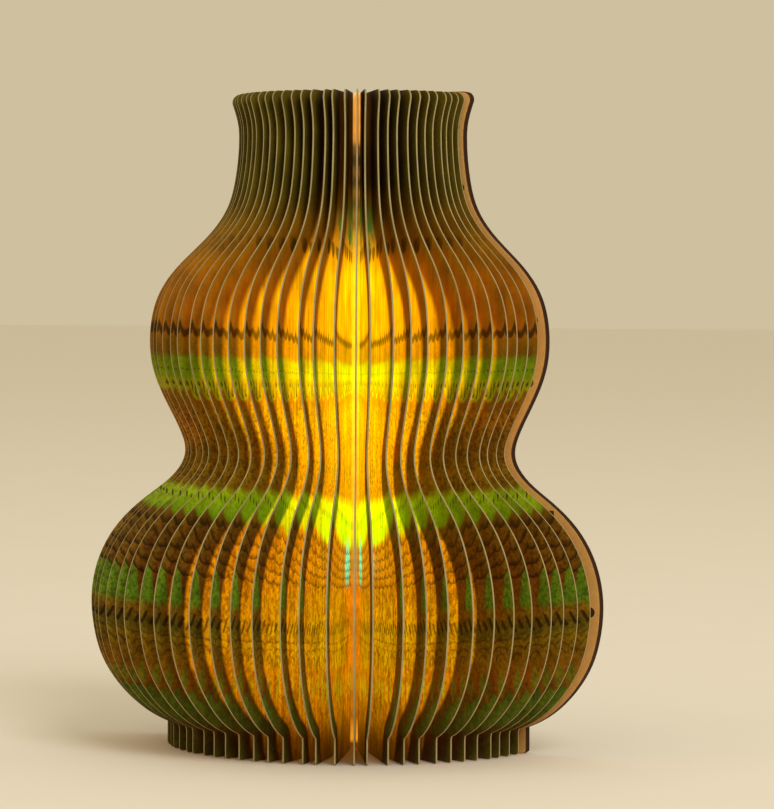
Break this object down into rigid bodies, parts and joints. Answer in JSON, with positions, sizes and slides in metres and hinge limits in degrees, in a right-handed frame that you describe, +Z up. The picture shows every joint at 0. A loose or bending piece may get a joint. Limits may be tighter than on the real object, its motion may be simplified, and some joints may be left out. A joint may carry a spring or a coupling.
{
  "type": "folding vase lamp",
  "caption": "Book-like paper lamp whose fanned leaves draw a double-gourd vase round a light bar, between two swinging cover boards.",
  "frame": {"origin": "on the light bar's upright axis, at the level that the lamp stands on", "axes": "+Z up along the light bar, -Y to the front where the leaves fan out, +X to the right cover"},
  "size_m": [0.2442, 0.1208, 0.3],
  "materials": {
    "printed_paper": "matt printed paper, cream at the cut edge",
    "cover_board": "dark brown stained board",
    "lining": "tan lining paper",
    "magnet": "nickel-plated magnet",
    "pleat_paper": "thin translucent paper",
    "hinge_cloth": "dark brown book cloth",
    "channel": "extruded and anodised",
    "diffuser": "milky plastic",
    "circuit_board": "white circuit board",
    "led": "yellow phosphor",
    "cell_sleeve": "shrink sleeve",
    "black_plastic": "fine moulded texture",
    "plated_steel": "nickel-plated steel",
    "lead_insulation": "wire insulation"
  },
  "bodies": {
    "light_bar": {"bar_channel": "channel", "light_diffuser": "diffuser", "led_board": "circuit_board", "led_chips": "led", "battery_cells": "cell_sleeve", "battery_holder": "black_plastic", "charge_board": "circuit_board", "usb_c_socket": "plated_steel", "switch_board": "circuit_board", "tact_switch": "black_plastic", "top_cap": "black_plastic", "bottom_cap": "black_plastic", "cap_screws": "plated_steel", "leads": "lead_insulation", "spine_bellows": "pleat_paper", "right_hinge_cloth": "hinge_cloth", "left_hinge_cloth": "hinge_cloth"},
    "button": {"power_button": "black_plastic", "switch_plunger": "black_plastic"},
    "right_cover_body": {"right_cover": "cover_board", "right_cover_lining": "lining", "right_cover_magnets": "magnet"},
    "left_cover_body": {"left_cover": "cover_board", "left_cover_lining": "lining", "left_cover_magnets": "magnet"},
    "page_01_body": {"page_01": "printed_paper"},
    "page_02_body": {"page_02": "printed_paper"},
    "page_03_body": {"page_03": "printed_paper"},
    "page_04_body": {"page_04": "printed_paper"},
    "page_05_body": {"page_05": "printed_paper"},
    "page_06_body": {"page_06": "printed_paper"},
    "page_07_body": {"page_07": "printed_paper"},
    "page_08_body": {"page_08": "printed_paper"},
    "page_09_body": {"page_09": "printed_paper"},
    "page_10_body": {"page_10": "printed_paper"},
    "page_11_body": {"page_11": "printed_paper"},
    "page_12_body": {"page_12": "printed_paper"},
    "page_13_body": {"page_13": "printed_paper"},
    "page_14_body": {"page_14": "printed_paper"},
    "page_15_body": {"page_15": "printed_paper"},
    "page_16_body": {"page_16": "printed_paper"},
    "page_17_body": {"page_17": "printed_paper"},
    "page_18_body": {"page_18": "printed_paper"},
    "page_19_body": {"page_19": "printed_paper"},
    "page_20_body": {"page_20": "printed_paper"},
    "page_21_body": {"page_21": "printed_paper"},
    "page_22_body": {"page_22": "printed_paper"},
    "page_23_body": {"page_23": "printed_paper"},
    "page_24_body": {"page_24": "printed_paper"},
    "page_25_body": {"page_25": "printed_paper"},
    "page_26_body": {"page_26": "printed_paper"},
    "page_27_body": {"page_27": "printed_paper"},
    "page_28_body": {"page_28": "printed_paper"},
    "page_29_body": {"page_29": "printed_paper"},
    "page_30_body": {"page_30": "printed_paper"},
    "page_31_body": {"page_31": "printed_paper"},
    "page_32_body": {"page_32": "printed_paper"},
    "page_33_body": {"page_33": "printed_paper"},
    "page_34_body": {"page_34": "printed_paper"}
  },
  "joints": [
    {"name": "right_cover_swing", "type": "hinge", "parent": "light_bar", "child": "right_cover_body", "pos_m": [0.01232, 0, 0], "axis": [0, 0, 1], "range_deg": [-90, 90], "deforming": ["spine_bellows", "right_hinge_cloth"]},
    {"name": "left_cover_swing", "type": "hinge", "parent": "light_bar", "child": "left_cover_body", "pos_m": [-0.01232, 0, 0], "axis": [0, 0, 1], "range_deg": [-90, 90], "deforming": ["left_hinge_cloth"]},
    {"name": "page_01_swing", "type": "hinge", "parent": "light_bar", "child": "page_01_body", "pos_m": [-0.01162, 0, 0], "axis": [0, 0, 1], "range_deg": [-84.84, 84.84]},
    {"name": "page_02_swing", "type": "hinge", "parent": "light_bar", "child": "page_02_body", "pos_m": [-0.01093, 0, 0], "axis": [0, 0, 1], "range_deg": [-79.81, 79.81]},
    {"name": "page_03_swing", "type": "hinge", "parent": "light_bar", "child": "page_03_body", "pos_m": [-0.01023, 0, 0], "axis": [0, 0, 1], "range_deg": [-74.73, 74.73]},
    {"name": "page_04_swing", "type": "hinge", "parent": "light_bar", "child": "page_04_body", "pos_m": [-0.00946, 0, 0], "axis": [0, 0, 1], "range_deg": [-69.1, 69.1]},
    {"name": "page_05_swing", "type": "hinge", "parent": "light_bar", "child": "page_05_body", "pos_m": [-0.00883, 0, 0], "axis": [0, 0, 1], "range_deg": [-64.47, 64.47]},
    {"name": "page_06_swing", "type": "hinge", "parent": "light_bar", "child": "page_06_body", "pos_m": [-0.00814, 0, 0], "axis": [0, 0, 1], "range_deg": [-59.47, 59.47]},
    {"name": "page_07_swing", "type": "hinge", "parent": "light_bar", "child": "page_07_body", "pos_m": [-0.0073, 0, 0], "axis": [0, 0, 1], "range_deg": [-53.3, 53.3]},
    {"name": "page_08_swing", "type": "hinge", "parent": "light_bar", "child": "page_08_body", "pos_m": [-0.00678, 0, 0], "axis": [0, 0, 1], "range_deg": [-49.51, 49.51]},
    {"name": "page_09_swing", "type": "hinge", "parent": "light_bar", "child": "page_09_body", "pos_m": [-0.00597, 0, 0], "axis": [0, 0, 1], "range_deg": [-43.61, 43.61]},
    {"name": "page_10_swing", "type": "hinge", "parent": "light_bar", "child": "page_10_body", "pos_m": [-0.00522, 0, 0], "axis": [0, 0, 1], "range_deg": [-38.11, 38.11]},
    {"name": "page_11_swing", "type": "hinge", "parent": "light_bar", "child": "page_11_body", "pos_m": [-0.00467, 0, 0], "axis": [0, 0, 1], "range_deg": [-34.09, 34.09]},
    {"name": "page_12_swing", "type": "hinge", "parent": "light_bar", "child": "page_12_body", "pos_m": [-0.00382, 0, 0], "axis": [0, 0, 1], "range_deg": [-27.92, 27.92]},
    {"name": "page_13_swing", "type": "hinge", "parent": "light_bar", "child": "page_13_body", "pos_m": [-0.00316, 0, 0], "axis": [0, 0, 1], "range_deg": [-23.11, 23.11]},
    {"name": "page_14_swing", "type": "hinge", "parent": "light_bar", "child": "page_14_body", "pos_m": [-0.00249, 0, 0], "axis": [0, 0, 1], "range_deg": [-18.2, 18.2]},
    {"name": "page_15_swing", "type": "hinge", "parent": "light_bar", "child": "page_15_body", "pos_m": [-0.00176, 0, 0], "axis": [0, 0, 1], "range_deg": [-12.85, 12.85]},
    {"name": "page_16_swing", "type": "hinge", "parent": "light_bar", "child": "page_16_body", "pos_m": [-0.00103, 0, 0], "axis": [0, 0, 1], "range_deg": [-7.54, 7.54]},
    {"name": "page_17_swing", "type": "hinge", "parent": "light_bar", "child": "page_17_body", "pos_m": [-0.00036, 0, 0], "axis": [0, 0, 1], "range_deg": [-2.67, 2.67]},
    {"name": "page_18_swing", "type": "hinge", "parent": "light_bar", "child": "page_18_body", "pos_m": [0.00031, 0, 0], "axis": [0, 0, 1], "range_deg": [-2.28, 2.28]},
    {"name": "page_19_swing", "type": "hinge", "parent": "light_bar", "child": "page_19_body", "pos_m": [0.00114, 0, 0], "axis": [0, 0, 1], "range_deg": [-8.36, 8.36]},
    {"name": "page_20_swing", "type": "hinge", "parent": "light_bar", "child": "page_20_body", "pos_m": [0.00169, 0, 0], "axis": [0, 0, 1], "range_deg": [-12.33, 12.33]},
    {"name": "page_21_swing", "type": "hinge", "parent": "light_bar", "child": "page_21_body", "pos_m": [0.00246, 0, 0], "axis": [0, 0, 1], "range_deg": [-18.01, 18.01]},
    {"name": "page_22_swing", "type": "hinge", "parent": "light_bar", "child": "page_22_body", "pos_m": [0.00325, 0, 0], "axis": [0, 0, 1], "range_deg": [-23.73, 23.73]},
    {"name": "page_23_swing", "type": "hinge", "parent": "light_bar", "child": "page_23_body", "pos_m": [0.00377, 0, 0], "axis": [0, 0, 1], "range_deg": [-27.56, 27.56]},
    {"name": "page_24_swing", "type": "hinge", "parent": "light_bar", "child": "page_24_body", "pos_m": [0.00463, 0, 0], "axis": [0, 0, 1], "range_deg": [-33.84, 33.84]},
    {"name": "page_25_swing", "type": "hinge", "parent": "light_bar", "child": "page_25_body", "pos_m": [0.0053, 0, 0], "axis": [0, 0, 1], "range_deg": [-38.69, 38.69]},
    {"name": "page_26_swing", "type": "hinge", "parent": "light_bar", "child": "page_26_body", "pos_m": [0.00594, 0, 0], "axis": [0, 0, 1], "range_deg": [-43.38, 43.38]},
    {"name": "page_27_swing", "type": "hinge", "parent": "light_bar", "child": "page_27_body", "pos_m": [0.00672, 0, 0], "axis": [0, 0, 1], "range_deg": [-49.06, 49.06]},
    {"name": "page_28_swing", "type": "hinge", "parent": "light_bar", "child": "page_28_body", "pos_m": [0.0074, 0, 0], "axis": [0, 0, 1], "range_deg": [-54.07, 54.07]},
    {"name": "page_29_swing", "type": "hinge", "parent": "light_bar", "child": "page_29_body", "pos_m": [0.00809, 0, 0], "axis": [0, 0, 1], "range_deg": [-59.09, 59.09]},
    {"name": "page_30_swing", "type": "hinge", "parent": "light_bar", "child": "page_30_body", "pos_m": [0.00877, 0, 0], "axis": [0, 0, 1], "range_deg": [-64.06, 64.06]},
    {"name": "page_31_swing", "type": "hinge", "parent": "light_bar", "child": "page_31_body", "pos_m": [0.00958, 0, 0], "axis": [0, 0, 1], "range_deg": [-69.95, 69.95]},
    {"name": "page_32_swing", "type": "hinge", "parent": "light_bar", "child": "page_32_body", "pos_m": [0.01016, 0, 0], "axis": [0, 0, 1], "range_deg": [-74.18, 74.18]},
    {"name": "page_33_swing", "type": "hinge", "parent": "light_bar", "child": "page_33_body", "pos_m": [0.0109, 0, 0], "axis": [0, 0, 1], "range_deg": [-79.61, 79.61]},
    {"name": "page_34_swing", "type": "hinge", "parent": "light_bar", "child": "page_34_body", "pos_m": [0.01171, 0, 0], "axis": [0, 0, 1], "range_deg": [-85.52, 85.52]},
    {"name": "button_press", "type": "slide", "parent": "light_bar", "child": "button", "axis": [0, 0, -1], "range_m": [0, 0.0006], "stiffness_N_per_m": 300}
  ],
  "couplings": [
    {"joint": "left_cover_swing", "follows": "right_cover_swing", "ratio": -1},
    {"joint": "page_01_swing", "follows": "right_cover_swing", "ratio": -0.94255},
    {"joint": "page_02_swing", "follows": "right_cover_swing", "ratio": -0.88663},
    {"joint": "page_03_swing", "follows": "right_cover_swing", "ratio": -0.83024},
    {"joint": "page_04_swing", "follows": "right_cover_swing", "ratio": -0.76763},
    {"joint": "page_05_swing", "follows": "right_cover_swing", "ratio": -0.71621},
    {"joint": "page_06_swing", "follows": "right_cover_swing", "ratio": -0.66061},
    {"joint": "page_07_swing", "follows": "right_cover_swing", "ratio": -0.59208},
    {"joint": "page_08_swing", "follows": "right_cover_swing", "ratio": -0.55},
    {"joint": "page_09_swing", "follows": "right_cover_swing", "ratio": -0.48448},
    {"joint": "page_10_swing", "follows": "right_cover_swing", "ratio": -0.42336},
    {"joint": "page_11_swing", "follows": "right_cover_swing", "ratio": -0.37872},
    {"joint": "page_12_swing", "follows": "right_cover_swing", "ratio": -0.31012},
    {"joint": "page_13_swing", "follows": "right_cover_swing", "ratio": -0.2567},
    {"joint": "page_14_swing", "follows": "right_cover_swing", "ratio": -0.20217},
    {"joint": "page_15_swing", "follows": "right_cover_swing", "ratio": -0.14264},
    {"joint": "page_16_swing", "follows": "right_cover_swing", "ratio": -0.083638},
    {"joint": "page_17_swing", "follows": "right_cover_swing", "ratio": -0.029585},
    {"joint": "page_18_swing", "follows": "right_cover_swing", "ratio": 0.025181},
    {"joint": "page_19_swing", "follows": "right_cover_swing", "ratio": 0.092814},
    {"joint": "page_20_swing", "follows": "right_cover_swing", "ratio": 0.1369},
    {"joint": "page_21_swing", "follows": "right_cover_swing", "ratio": 0.19995},
    {"joint": "page_22_swing", "follows": "right_cover_swing", "ratio": 0.26358},
    {"joint": "page_23_swing", "follows": "right_cover_swing", "ratio": 0.30608},
    {"joint": "page_24_swing", "follows": "right_cover_swing", "ratio": 0.37583},
    {"joint": "page_25_swing", "follows": "right_cover_swing", "ratio": 0.42976},
    {"joint": "page_26_swing", "follows": "right_cover_swing", "ratio": 0.48193},
    {"joint": "page_27_swing", "follows": "right_cover_swing", "ratio": 0.54499},
    {"joint": "page_28_swing", "follows": "right_cover_swing", "ratio": 0.60067},
    {"joint": "page_29_swing", "follows": "right_cover_swing", "ratio": 0.65647},
    {"joint": "page_30_swing", "follows": "right_cover_swing", "ratio": 0.71164},
    {"joint": "page_31_swing", "follows": "right_cover_swing", "ratio": 0.77715},
    {"joint": "page_32_swing", "follows": "right_cover_swing", "ratio": 0.82407},
    {"joint": "page_33_swing", "follows": "right_cover_swing", "ratio": 0.88448},
    {"joint": "page_34_swing", "follows": "right_cover_swing", "ratio": 0.95005}
  ]
}
